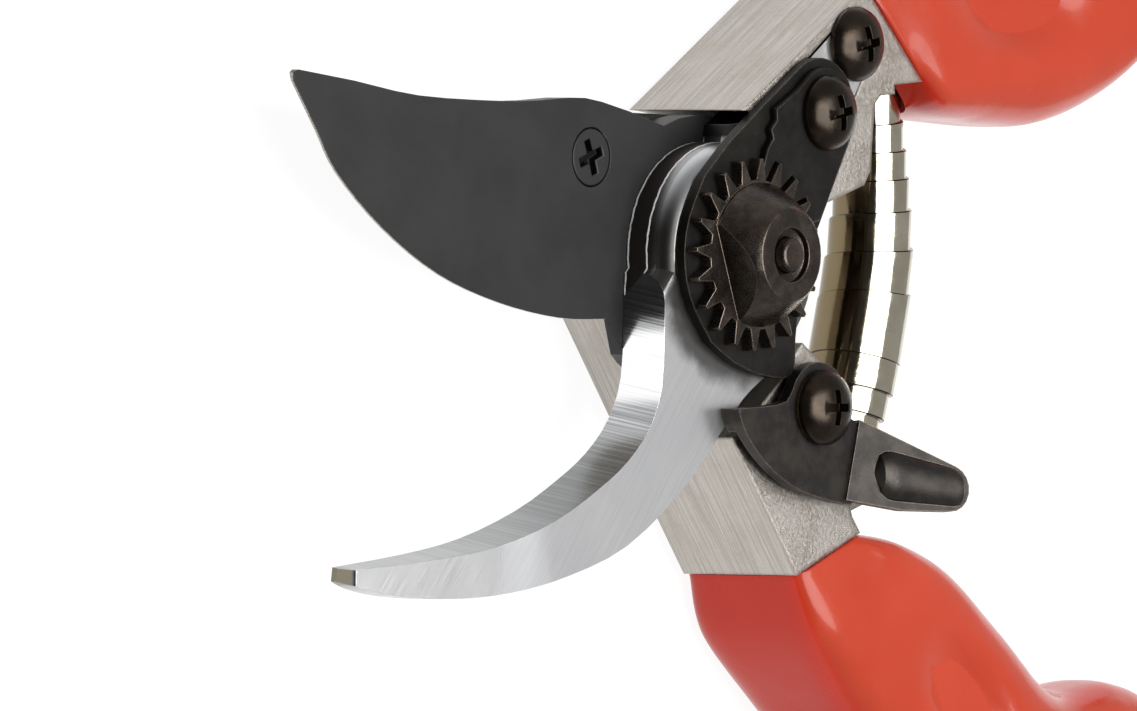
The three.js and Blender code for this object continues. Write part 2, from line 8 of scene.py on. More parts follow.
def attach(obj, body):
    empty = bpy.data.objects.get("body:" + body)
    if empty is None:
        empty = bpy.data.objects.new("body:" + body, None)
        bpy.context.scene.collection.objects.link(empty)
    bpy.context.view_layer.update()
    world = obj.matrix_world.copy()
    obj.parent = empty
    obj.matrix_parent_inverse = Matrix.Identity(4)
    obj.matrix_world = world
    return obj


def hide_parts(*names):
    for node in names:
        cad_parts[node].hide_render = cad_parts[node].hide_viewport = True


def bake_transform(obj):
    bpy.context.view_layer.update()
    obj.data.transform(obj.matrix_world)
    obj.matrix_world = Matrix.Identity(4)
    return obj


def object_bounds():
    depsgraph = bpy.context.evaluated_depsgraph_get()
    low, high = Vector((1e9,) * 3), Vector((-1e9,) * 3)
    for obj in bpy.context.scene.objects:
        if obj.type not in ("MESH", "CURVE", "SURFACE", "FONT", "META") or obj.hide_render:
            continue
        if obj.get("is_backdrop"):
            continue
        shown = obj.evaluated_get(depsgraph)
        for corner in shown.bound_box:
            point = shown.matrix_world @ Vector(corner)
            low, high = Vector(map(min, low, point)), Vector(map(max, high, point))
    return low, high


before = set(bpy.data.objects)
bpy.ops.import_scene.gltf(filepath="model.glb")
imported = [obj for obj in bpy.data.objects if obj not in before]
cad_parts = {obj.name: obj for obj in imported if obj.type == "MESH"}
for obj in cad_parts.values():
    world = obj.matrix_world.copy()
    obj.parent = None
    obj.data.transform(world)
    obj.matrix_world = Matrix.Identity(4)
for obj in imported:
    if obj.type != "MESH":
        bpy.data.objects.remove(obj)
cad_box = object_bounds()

MM = 0.001

# ---------- Sizes shared with the CAD, in millimetres ----------

GRIP_MID_Z = 9.65
GRIP_HALF_T = 9.65
MOUTH_HALF_T = 8.3
GRIP_T = 1.7
UPPER_OPEN = 8.2
LOWER_OPEN = -36.8
UPPER_OUTER = [(24.8, 25.5), (34, 29.2), (46, 31), (60, 31), (76, 29.6), (93, 27.3), (110, 24.8),
               (128, 21.2), (142, 17), (151, 12.5)]
UPPER_INNER = [(33, 14.1), (36.5, 10.3), (44.5, 8.1), (56, 6.1), (66, 7.7), (78, 13.1), (94, 13.2),
               (114, 11), (132, 9), (147, 8)]
LOWER_OUTER = [(28.5, -21.5), (35, -25.3), (45.2, -27.2), (58, -28.6), (70, -29.2), (80, -29),
               (88, -28.5), (98, -27.4), (112, -25.4), (130, -21.5), (149, -13.5)]
LOWER_INNER = [(34.3, -11.5), (40.5, -8), (50, -4.7), (62, -3.7), (74.5, -3), (82.5, 4.2), (91, 6),
               (101, -2), (113, -7), (130, -8), (148, -7)]
SPRING_LINE = [(31.6, 19.6), (31.8, 11.8), (31.5, 1.5), (30.8, -3.5), (29.2, -10.2), (28.1, -13.9),
               (26.7, -18.6), (25.4, -22.2)]


# ---------- Lines ----------

def spline(points, t):
    """A point on the smooth line through the points, which runs straight on past its ends."""
    n = len(points)
    inside = min(max(t, 0.0), 1.0)
    p = (n - 1) * inside
    i = min(int(p), n - 2)
    w = p - i
    p0, p1 = Vector(points[max(i - 1, 0)]), Vector(points[i])
    p2, p3 = Vector(points[i + 1]), Vector(points[min(i + 2, n - 1)])
    v0, v1 = (p2 - p0) / 2, (p3 - p1) / 2
    point = (2 * p1 - 2 * p2 + v0 + v1) * w ** 3 + (3 * p2 - 3 * p1 - 2 * v0 - v1) * w ** 2 + v0 * w + p1
    if t != inside:
        step = 1e-4
        near = spline(points, abs(inside - step))
        point += (point - near).normalized() * abs(t - inside) * length(points)
    return point


def length(points):
    steps = 200
    line = [spline(points, i / steps) for i in range(steps + 1)]
    return sum((b - a).length for a, b in zip(line, line[1:]))


def turned_by(points, degrees):
    turn = Matrix.Rotation(math.radians(degrees), 2)
    return [tuple(turn @ Vector(p)) for p in points]


def squared(x, power):
    return 0.0 if abs(x) < 1e-6 else math.copysign(abs(x) ** power, x)


def smoothstep(x, low, high):
    t = min(max((x - low) / (high - low), 0.0), 1.0)
    return t * t * (3 - 2 * t)


# ---------- Node materials ----------

class Look:
    """A node material on the object's own coordinates, in millimetres."""

    def __init__(self, name, **shader):
        self.material = bpy.data.materials.new(name)
        self.material.use_nodes = True
        self.tree = self.material.node_tree
        self.shader = self.tree.nodes["Principled BSDF"]
        for key, value in shader.items():
            self.shader.inputs[key.replace("_", " ")].default_value = value
        coordinates = self.node("ShaderNodeTexCoord")
        self.place = coordinates.outputs["Object"]

    def node(self, kind, **inputs):
        node = self.tree.nodes.new(kind)
        for key, value in inputs.items():
            self.feed(node.inputs[key.replace("_", " ")], value)
        return node

    def feed(self, socket, value):
        if isinstance(value, bpy.types.NodeSocket):
            self.tree.links.new(value, socket)
        else:
            socket.default_value = value

    def set(self, **inputs):
        for key, value in inputs.items():
            self.feed(self.shader.inputs[key.replace("_", " ")], value)

    def stretched(self, scale, turn=(0, 0, 0)):
        """The coordinates turned and then scaled from metres to the given number of grains per millimetre."""
        angles = tuple(math.radians(a) for a in turn)
        turned = self.node("ShaderNodeMapping", Vector=self.place, Rotation=angles)
        sized = self.node("ShaderNodeMapping", Vector=turned.outputs[0], Scale=tuple(1000 * s for s in scale))
        return sized.outputs[0]

    def noise(self, scale, detail=3.0, rough=0.55, turn=(0, 0, 0)):
        if not isinstance(scale, tuple):
            scale = (scale,) * 3
        return self.noise_at(self.stretched(scale, turn), 1.0, detail, rough)

    def noise_at(self, vector, scale, detail, rough):
        node = self.node("ShaderNodeTexNoise", Vector=vector, Scale=scale, Detail=detail)
        node.inputs["Roughness"].default_value = rough
        return node.outputs["Fac"]

    def ramp(self, value, low, high, start=0.0, end=1.0):
        node = self.node("ShaderNodeMapRange", Value=value)
        node.interpolation_type = "SMOOTHSTEP"
        node.inputs["From Min"].default_value = low
        node.inputs["From Max"].default_value = high
        node.inputs["To Min"].default_value = start
        node.inputs["To Max"].default_value = end
        return node.outputs["Result"]

    def mix(self, factor, a, b):
        node = self.tree.nodes.new("ShaderNodeMix")
        node.data_type = "RGBA"
        self.feed(node.inputs["Factor"], factor)
        self.feed(node.inputs["A"], a if isinstance(a, bpy.types.NodeSocket) else (*a, 1))
        self.feed(node.inputs["B"], b if isinstance(b, bpy.types.NodeSocket) else (*b, 1))
        return node.outputs["Result"]

    def math(self, operation, a, b):
        node = self.tree.nodes.new("ShaderNodeMath")
        node.operation = operation
        self.feed(node.inputs[0], a)
        self.feed(node.inputs[1], b)
        return node.outputs[0]

    def facing(self, low=0.75, high=0.95, normal_kind="True Normal"):
        """1 on faces that look along Z either way, 0 on side walls."""
        normal = self.node("ShaderNodeNewGeometry").outputs[normal_kind]
        split = self.node("ShaderNodeSeparateXYZ", Vector=normal)
        return self.ramp(self.math("ABSOLUTE", split.outputs["Z"], 0.0), low, high)

    def from_pivot(self):
        """The distance from the pivot's axis."""
        place = self.node("ShaderNodeSeparateXYZ", Vector=self.place)
        level = self.node("ShaderNodeCombineXYZ", X=place.outputs["X"], Y=place.outputs["Y"], Z=0.0)
        distance = self.node("ShaderNodeVectorMath")
        distance.operation = "LENGTH"
        self.feed(distance.inputs[0], level.outputs[0])
        return distance.outputs["Value"]

    def edges(self, radius, low=0.02, high=0.2):
        """1 along sharp edges, 0 on open faces."""
        normal = self.node("ShaderNodeNewGeometry").outputs["Normal"]
        bevel = self.node("ShaderNodeBevel", Radius=radius * MM)
        bevel.samples = 4
        dot = self.node("ShaderNodeVectorMath")
        dot.operation = "DOT_PRODUCT"
        self.feed(dot.inputs[0], normal)
        self.feed(dot.inputs[1], bevel.outputs["Normal"])
        return self.ramp(self.math("SUBTRACT", 1.0, dot.outputs["Value"]), low, high)

    def bump(self, *layers, soft=0.0):
        """Each layer is a height from 0 to 1 and its depth in millimetres. Edges look rounded by soft."""
        normal = None
        if soft:
            bevel = self.node("ShaderNodeBevel", Radius=soft * MM)
            bevel.samples = 6
            normal = bevel.outputs["Normal"]
        for height, depth in layers:
            node = self.node("ShaderNodeBump", Height=height, Distance=depth * MM)
            if normal is not None:
                self.feed(node.inputs["Normal"], normal)
            normal = node.outputs["Normal"]
        self.feed(self.shader.inputs["Normal"], normal)


def red_dip():
    """Glossy dipped plastic, with painted shade: the sides of the grip are a deeper red than the front."""
    look = Look("red_dip", Specular_IOR_Level=0.2, Coat_Weight=0.3, Coat_Roughness=0.06, Coat_IOR=1.3)
    cloud = look.noise(0.06, 2.0)
    speck = look.noise(1.6, 2.0)
    # Painted shade: faces turned away from Z get a deeper red than the front.
    front = look.mix(look.ramp(cloud, 0.3, 0.7), (0.335, 0.034, 0.014), (0.365, 0.040, 0.018))
    side = look.mix(look.ramp(cloud, 0.3, 0.7), (0.47, 0.022, 0.009), (0.51, 0.026, 0.011))
    colour = look.mix(look.facing(0.2, 0.75, "Normal"), side, front)
    scuff = look.ramp(look.noise(0.35, 5.0, 0.7), 0.62, 0.8, 0.0, 0.25)
    colour = look.mix(scuff, colour, (0.30, 0.028, 0.014))
    look.set(Base_Color=colour, Roughness=look.ramp(look.noise(0.2, 4.0), 0.3, 0.7, 0.20, 0.30))
    look.bump((look.noise(0.12, 2.0), 0.2), (speck, 0.008))
    return look.material


def cast_aluminium(name, shaded_above=None):
    """A pebbled cast front and belt-ground sides, with rubbed edges; painted shade inside the joint if asked.
    """
    look = Look(name, Metallic=1.0)
    flat = look.facing()
    grain = look.noise(2.6, 6.0, 0.7)
    patch = look.noise(0.22, 5.0, 0.65)
    brushed = look.noise((0.10, 0.10, 5.0), 2.0, 0.5)
    sparkle = look.ramp(look.noise(5.0, 4.0, 0.75), 0.5, 0.72)
    cast = look.mix(look.ramp(patch, 0.35, 0.65), (0.26, 0.233, 0.205), (0.36, 0.337, 0.31))
    cast = look.mix(look.ramp(grain, 0.45, 0.65), cast, (0.41, 0.385, 0.355))
    belt = look.mix(look.ramp(brushed, 0.3, 0.7), (0.37, 0.342, 0.310), (0.50, 0.47, 0.435))
    belt = look.mix(look.ramp(patch, 0.4, 0.7, 0.0, 0.5), belt, (0.37, 0.335, 0.295))
    worn = look.edges(0.6)
    colour = look.mix(flat, belt, cast)
    colour = look.mix(look.math("MULTIPLY", worn, 0.5), colour, (0.60, 0.55, 0.47))
    # Painted shade: inside the joint, above shaded_above in Y and in front of the back face, the colour turns
    # near black.
    if shaded_above is not None:
        place = look.node("ShaderNodeSeparateXYZ", Vector=look.place)
        shade = look.ramp(place.outputs["Y"], shaded_above * MM, (shaded_above + 2) * MM, 0.0, 0.94)
        shade = look.math("MULTIPLY", shade, look.ramp(place.outputs["Z"], 2.5 * MM, 4.5 * MM))
        colour = look.mix(shade, colour, (0.025, 0.025, 0.025))
    rough = look.math("ADD", look.ramp(grain, 0.3, 0.7, 0.34, 0.5), look.math("MULTIPLY", sparkle, -0.08))
    look.set(Base_Color=colour, Roughness=rough)
    look.bump((look.math("MULTIPLY", grain, flat), 0.09),
              (look.math("MULTIPLY", brushed, look.math("SUBTRACT", 1.0, flat)), 0.025), soft=0.6)
    return look.material


def bright_steel():
    """The hook: a brushed front, a cross-ground inner face and a smooth head, with painted reflections, shade
    and highlights; the head is painted darker.
    """
    look = Look("bright_steel", Metallic=1.0)
    normal = look.node("ShaderNodeNewGeometry").outputs["True Normal"]
    up = look.node("ShaderNodeSeparateXYZ", Vector=normal).outputs["Z"]
    flat = look.facing(0.9, 0.97)
    place = look.node("ShaderNodeSeparateXYZ", Vector=look.place)
    x, y, z = (place.outputs[axis] for axis in "XYZ")

    # The ground face ends above on a slanting line.
    slant = 0.92
    end_y, end_z = -2.1, 14.4
    end_line = look.math("ADD", y, look.math("MULTIPLY", z, -slant))
    end_at = (end_y - slant * end_z) * MM
    head = look.ramp(end_line, end_at - 0.1 * MM, end_at + 0.1 * MM)

    # Its grinding marks run across it and lean as it does.
    lean = 1 / 5.7
    leaning = look.math("ADD", y, look.math("MULTIPLY", z, lean))
    marks = look.node("ShaderNodeCombineXYZ", X=x, Y=leaning, Z=look.math("MULTIPLY", z, 0.01))
    fine = look.noise_at(marks.outputs[0], 3600.0, 1.0, 0.5)
    broad = look.noise_at(marks.outputs[0], 700.0, 1.0, 0.5)
    wall = look.math("MULTIPLY", look.math("SUBTRACT", 1.0, flat), look.math("SUBTRACT", 1.0, head))
    ground = look.mix(look.ramp(fine, 0.35, 0.65), (0.38, 0.385, 0.39), (0.72, 0.725, 0.74))
    ground = look.mix(look.ramp(broad, 0.42, 0.68, 0.0, 0.55), ground, (0.30, 0.30, 0.31))

    # Painted reflections on the ground face: dark near the head, a painted highlight band below that, and
    # greyer towards the tip.
    ground = look.mix(look.ramp(y, -8.5 * MM, -6.5 * MM, 0.0, 0.6), ground, (0.14, 0.14, 0.135))
    painted_highlight_band = look.ramp(y, -16.5 * MM, -15 * MM)
    painted_highlight_band = look.math("MULTIPLY", painted_highlight_band, look.ramp(y, -9 * MM, -7.5 * MM, 1.0, 0.0))
    painted_highlight_band = look.math("MULTIPLY", painted_highlight_band, look.ramp(fine, 0.3, 0.5, 0.75, 1.0))
    ground = look.mix(painted_highlight_band, ground, (1.0, 1.0, 1.0))
    ground = look.mix(look.ramp(y, -25 * MM, -15.5 * MM, 0.8, 0.0), ground, (0.21, 0.22, 0.22))

    # The front is brushed at a slant.
    diagonal = look.noise((7.0, 0.12, 1.0), 2.0, 0.5, turn=(0, 0, 38))
    cloud = look.noise(0.09, 3.0)
    front = look.mix(look.ramp(diagonal, 0.3, 0.7), (0.71, 0.715, 0.73), (0.80, 0.805, 0.82))
    front = look.mix(look.ramp(cloud, 0.35, 0.65, 0.0, 0.35), front, (0.65, 0.66, 0.69))
    near_tip = look.ramp(x, -46 * MM, -32 * MM, 1.0, 0.0)
    tip = look.mix(look.ramp(diagonal, 0.3, 0.7), (0.41, 0.41, 0.415), (0.47, 0.47, 0.475))
    front = look.mix(near_tip, front, tip)

    # The head's wall is painted dark as a reflection of the blade, and its rounded rim gets a painted
    # reflection that goes from silver at the top to dark at the bottom.
    rounded = look.ramp(up, 0.04, 0.20)
    rim = look.mix(look.ramp(y, 2 * MM, 12 * MM), (0.055, 0.053, 0.051), (0.55, 0.56, 0.58))
    smooth = look.mix(rounded, (0.11, 0.095, 0.088), rim)
    # Painted shadow: above the tail's line the head is painted black, as shade under the forging.
    below_tail = look.ramp(y, 12.2 * MM, 12.8 * MM, 1.0, 0.0)
    smooth = look.mix(below_tail, (0.03, 0.03, 0.03), smooth)
    head = look.math("MAXIMUM", head, look.math("MULTIPLY", rounded, look.ramp(y, -8 * MM, -6 * MM)))

    # Painted shade darkens the front next to the cover plate, with a ragged edge.
    painted_shade_edge = look.math("ADD", look.from_pivot(), look.math("MULTIPLY", look.noise(0.25, 4.0), 3 * MM))
    front = look.mix(look.ramp(painted_shade_edge, 14 * MM, 16.5 * MM, 0.9, 0.0), front, (0.10, 0.095, 0.09))
    colour = look.mix(head, ground, smooth)
    colour = look.mix(flat, colour, front)
    colour = look.mix(look.math("MULTIPLY", look.edges(0.15), 0.4), colour, (0.93, 0.92, 0.90))

    # The facet at the tip is painted matt brown: a painted reflection.
    painted_matt = look.ramp(x, -59.6 * MM, -59.3 * MM, 1.0, 0.0)
    colour = look.mix(painted_matt, colour, (0.20, 0.175, 0.13))

    # Painted highlights: bright glint lines run along the foot of the head's wall and along the start of its
    # rim.
    wobble = look.math("MULTIPLY", look.noise(0.9, 3.0), 0.35 * MM)
    height = look.math("ADD", z, wobble)
    on_wall = look.math("MULTIPLY", look.math("MULTIPLY", head, below_tail),
                        look.ramp(x, 0.0, 1 * MM, 1.0, 0.0))
    for line_z in (14.7, 12.15):
        off = look.math("ABSOLUTE", look.math("SUBTRACT", height, line_z * MM), 0.0)
        glint = look.math("MULTIPLY", look.ramp(off, 0.07 * MM, 0.14 * MM, 1.0, 0.0), on_wall)
        colour = look.mix(glint, colour, (0.95, 0.95, 0.95))
        painted_matt = look.math("MAXIMUM", painted_matt, glint)
    rough = look.mix(head, look.ramp(fine, 0.3, 0.7, 0.15, 0.22), (0.36, 0.36, 0.36))
    rough = look.mix(flat, rough, look.ramp(near_tip, 0.0, 1.0, 0.30, 0.24))
    look.set(Base_Color=colour, Roughness=rough, Metallic=look.math("SUBTRACT", 1.0, painted_matt))
    look.bump((look.math("MULTIPLY", diagonal, flat), 0.005), (look.math("MULTIPLY", fine, wall), 0.010))
    return look.material


def black_coat(name, low, high, glint, rough, wear=0.6, wear_radius=0.25):
    """Blackened steel: a satin coat with fine grain, soft patches and rubbed edges."""
    look = Look(name, Metallic=0.9)
    grain = look.noise(4.0, 5.0, 0.7)
    patch = look.noise(0.35, 4.0, 0.6)
    fine = look.noise((2.0, 12.0, 6.0), 3.0, 0.6, turn=(0, 0, 25))
    colour = look.mix(look.ramp(patch, 0.35, 0.68), low, high)
    rubbed = look.math("MULTIPLY", look.edges(wear_radius), look.ramp(grain, 0.35, 0.6, 0.25, 1.0))
    colour = look.mix(look.math("MULTIPLY", rubbed, wear), colour, glint)
    speck = look.ramp(look.noise(3.0, 4.0, 0.75), 0.66, 0.78, 0.0, 0.35)
    colour = look.mix(speck, colour, glint)
    look.set(Base_Color=colour, Roughness=look.ramp(grain, 0.25, 0.75, rough - 0.05, rough + 0.09))
    look.bump((grain, 0.02), (fine, 0.006))
    return look.material


def blade_coat():
    """A dark satin coat that takes off most of the steel's shine."""
    look = Look("blade_coat", Metallic=0.0, Specular_IOR_Level=0.27)
    grain = look.noise(5.0, 5.0, 0.7)
    patch = look.noise(0.09, 4.0, 0.6)
    streak = look.noise((0.35, 9.0, 4.0), 4.0, 0.6, turn=(0, 0, 12))
    colour = look.mix(look.ramp(patch, 0.3, 0.7), (0.010, 0.010, 0.0105), (0.016, 0.0155, 0.0155))
    colour = look.mix(look.ramp(streak, 0.55, 0.75, 0.0, 0.4), colour, (0.022, 0.021, 0.020))
    worn = look.edges(0.15)
    colour = look.mix(look.math("MULTIPLY", worn, 0.35), colour, (0.16, 0.145, 0.13))
    look.set(Base_Color=colour, Roughness=look.ramp(grain, 0.25, 0.75, 0.40, 0.52))
    look.bump((grain, 0.012), (streak, 0.008))
    return look.material


def ground_edge():
    """Bare steel, ground across."""
    look = Look("ground_edge", Metallic=1.0)
    across = look.noise((7.0, 7.0, 0.4), 4.0, 0.6)
    colour = look.mix(look.ramp(across, 0.35, 0.65), (0.26, 0.235, 0.21), (0.42, 0.39, 0.36))
    look.set(Base_Color=colour, Roughness=look.ramp(across, 0.3, 0.7, 0.22, 0.34))
    look.bump((across, 0.01))
    return look.material


def nickel():
    """Bright nickel with a warm tint, with a painted brown reflection on the side facing the jaws and painted
    shade in the seams.
    """
    look = Look("nickel", Metallic=1.0)
    cloud = look.noise(0.16, 3.0)
    streak = look.noise((0.6, 3.0, 0.6), 3.0)
    pit = look.ramp(look.noise(2.2, 3.0, 0.7), 0.7, 0.78)
    colour = look.mix(look.ramp(cloud, 0.35, 0.65), (0.46, 0.425, 0.33), (0.56, 0.53, 0.43))
    colour = look.mix(look.ramp(streak, 0.6, 0.8, 0.0, 0.3), colour, (0.42, 0.31, 0.16))
    colour = look.mix(look.math("MULTIPLY", pit, 0.7), colour, (0.22, 0.17, 0.11))
    normal = look.node("ShaderNodeNewGeometry").outputs["True Normal"]
    facing = look.node("ShaderNodeSeparateXYZ", Vector=normal)
    # Painted reflection: faces turned towards the jaws are painted brown.
    painted_reflection_side = look.math("MULTIPLY", facing.outputs["X"], -1.0)
    colour = look.mix(look.ramp(painted_reflection_side, 0.55, 0.85, 0.0, 0.9), colour, (0.16, 0.115, 0.055))
    # Painted shade: faces along the spring's axis, in the seams, are painted near black.
    painted_seam_shade = look.math("ABSOLUTE", facing.outputs["Y"], 0.0)
    colour = look.mix(look.ramp(painted_seam_shade, 0.35, 0.6), colour, (0.03, 0.027, 0.02))
    look.set(Base_Color=colour, Roughness=look.ramp(look.noise(0.5, 4.0), 0.3, 0.7, 0.07, 0.15))
    look.bump((look.noise(0.5, 3.0), 0.02), (streak, 0.004))
    return look.material


def bronze():
    """Dull brown bronze."""
    look = Look("dark_bronze", Metallic=1.0)
    grain = look.noise(2.0, 5.0, 0.65)
    colour = look.mix(look.ramp(grain, 0.35, 0.65), (0.30, 0.19, 0.10), (0.46, 0.31, 0.17))
    look.set(Base_Color=colour, Roughness=look.ramp(grain, 0.3, 0.7, 0.24, 0.38))
    look.bump((grain, 0.015))
    return look.material


def recess_black():
    """The shaded inside of a small recess."""
    look = Look("recess_black", Specular_IOR_Level=0.1)
    colour = look.mix(look.noise(4.0), (0.001, 0.001, 0.001), (0.003, 0.003, 0.003))
    look.set(Base_Color=colour, Roughness=0.5)
    return look.material


RED = red_dip()
ALUMINIUM = cast_aluminium("cast_aluminium")
LOWER_ALUMINIUM = cast_aluminium("lower_aluminium", shaded_above=5)
STEEL = bright_steel()
BLADE_BLACK = blade_coat()
EDGE = ground_edge()
PLATE_BLACK = black_coat("plate_black", (0.013, 0.0125, 0.012), (0.022, 0.020, 0.018), (0.34, 0.25, 0.18),
                         0.40)
WORN_BLACK = black_coat("worn_black", (0.038, 0.031, 0.027), (0.085, 0.069, 0.056), (0.46, 0.36, 0.28), 0.24,
                        wear=0.75)
SCREW_BLACK = black_coat("screw_black", (0.022, 0.017, 0.013), (0.042, 0.031, 0.022), (0.30, 0.22, 0.15),
                         0.18, wear=0.2)
LATCH_BLACK = black_coat("latch_black", (0.027, 0.025, 0.024), (0.046, 0.041, 0.036), (0.36, 0.28, 0.22),
                         0.40)
NICKEL = nickel()
BRONZE = bronze()
RECESS = recess_black()


# ---------- Pieces ----------

def finished(piece, body, slot, *nodes):
    """Puts the piece on its body and in place of the CAD nodes. The slot is not used."""
    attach(piece, body)
    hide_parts(*nodes)
    return piece


def to_object(name, bm, material, smooth_angle=38):
    mesh = bpy.data.meshes.new(name)
    bm.to_mesh(mesh)
    bm.free()
    mesh.materials.append(material)
    mesh.polygons.foreach_set("use_smooth", [True] * len(mesh.polygons))
    mesh.set_sharp_from_angle(angle=math.radians(smooth_angle))
    piece = bpy.data.objects.new(name, mesh)
    bpy.context.scene.collection.objects.link(piece)
    return piece


MOUTHS = {
    "upper_handle_forging": turned_by([UPPER_OUTER[0], UPPER_INNER[0]], UPPER_OPEN),
    "lower_handle_forging": turned_by([LOWER_OUTER[0], LOWER_INNER[0]], LOWER_OPEN),
}


def past_mouth(node, point):
    """Whether the point is inside the grip, well past the line across its mouth."""
    margin = 0.4
    a, b = (Vector(p) for p in MOUTHS[node])
    along = (b - a).normalized()
    out = Vector((along.y, -along.x))
    if out.x < 0:
        out = -out
    return (Vector((point.x, point.y)) / MM - a).dot(out) > margin


def machined(node, material, bevel, domed=False):
    """The CAD node's shape with clean faces and rounded edges. A domed piece keeps its smooth normals."""
    same_point = 0.01 * MM
    same_plane = math.radians(0.6)
    sharp = math.radians(32)
    bm = bmesh.new()
    bm.from_mesh(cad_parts[node].data)
    bmesh.ops.remove_doubles(bm, verts=bm.verts, dist=same_point)
    bmesh.ops.dissolve_degenerate(bm, edges=bm.edges, dist=same_point)
    bmesh.ops.dissolve_limit(bm, angle_limit=same_plane, verts=bm.verts, edges=bm.edges)
    weights = bm.edges.layers.float.new("bevel_weight_edge")
    for edge in bm.edges:
        inside_grip = node in MOUTHS and any(past_mouth(node, vert.co) for vert in edge.verts)
        if len(edge.link_faces) == 2 and edge.calc_face_angle(0) > sharp and not inside_grip:
            edge[weights] = 1.0
    piece = to_object(node + "_finished", bm, material)
    rounding = piece.modifiers.new("rounded edges", "BEVEL")
    rounding.limit_method = "WEIGHT"
    rounding.width = bevel * MM
    rounding.segments = 2
    if domed:
        return piece
    normals = piece.modifiers.new("flat faces stay flat", "WEIGHTED_NORMAL")
    normals.keep_sharp = True
    return piece


MACHINED = [
    ("lower_handle", "cutting_blade", BLADE_BLACK, "black_blade", dict(bevel=0.1)),
    ("lower_handle", "blade_screw", BLADE_BLACK, "black_hardware", dict(bevel=0.2)),
    ("lower_handle", "blade_nut", PLATE_BLACK, "black_hardware", dict(bevel=0.12)),
    ("lower_handle", "pivot_bush", BRONZE, "bronze", dict(bevel=0.12)),
    ("lower_handle", "latch_screw", SCREW_BLACK, "black_hardware", dict(bevel=0.06, domed=True)),
    ("lower_handle", "latch_washer", BRONZE, "bronze", dict(bevel=0.1)),
    ("lower_handle", "latch_spring_washer", PLATE_BLACK, "black_hardware", dict(bevel=0.15)),
    ("lower_handle", "lower_spring_peg", PLATE_BLACK, "black_hardware", dict(bevel=0.1)),
    ("lower_handle", "lower_handle_forging", LOWER_ALUMINIUM, "cast_aluminium", dict(bevel=0.3)),
    ("upper_handle", "upper_handle_forging", ALUMINIUM, "cast_aluminium", dict(bevel=0.3)),
    ("upper_handle", "hook_blade", STEEL, "bright_steel", dict(bevel=0.14)),
    ("upper_handle", "hook_tail_screw", SCREW_BLACK, "black_hardware", dict(bevel=0.06, domed=True)),
    ("upper_handle", "segment_screw", SCREW_BLACK, "black_hardware", dict(bevel=0.06, domed=True)),
    ("upper_handle", "cover_plate", PLATE_BLACK, "black_hardware", dict(bevel=0.22)),
    ("upper_handle", "toothed_segment", PLATE_BLACK, "black_hardware", dict(bevel=0.15)),
    ("upper_handle", "pivot_bolt", WORN_BLACK, "black_hardware", dict(bevel=0.15)),
    ("upper_handle", "toothed_nut", WORN_BLACK, "black_hardware", dict(bevel=0.18)),
    ("upper_handle", "back_washer", BRONZE, "bronze", dict(bevel=0.08)),
    ("upper_handle", "upper_spring_peg", PLATE_BLACK, "black_hardware", dict(bevel=0.1)),
    ("latch", "thumb_latch", LATCH_BLACK, "black_hardware", dict(bevel=0.25)),
]

made = {}
for body, node, material, slot, sizes in MACHINED:
    made[node] = finished(machined(node, material, **sizes), body, slot, node)

# The cutting edge is ground bright: its narrow land and the bevel on the back.
blade = made["cutting_blade"].data
blade.materials.append(EDGE)
heel_x = -15.5 * MM
for face in blade.polygons:
    slopes = abs(face.normal.z) < 0.985
    towards_edge = face.normal.x + face.normal.y < -0.1
    if slopes and towards_edge and face.center.x < heel_x:
        face.material_index = 1


# The flush screw is painted near black below its top face, as painted shade in the cross recess and round the
# rim.
screw = made["blade_screw"].data
screw.materials.append(RECESS)
screw_top = max(vert.co.z for vert in screw.vertices)
skin = 0.05 * MM
for face in screw.polygons:
    if face.center.z < screw_top - skin:
        face.material_index = 1

# The bush stops just short of the back washer, which turns against it.
bush = made["pivot_bush"].data
bush_end = min(vert.co.z for vert in bush.vertices)
gap = 0.05 * MM
for vert in bush.vertices:
    if vert.co.z < bush_end + 2 * gap:
        vert.co.z += gap


# ---------- Grips ----------

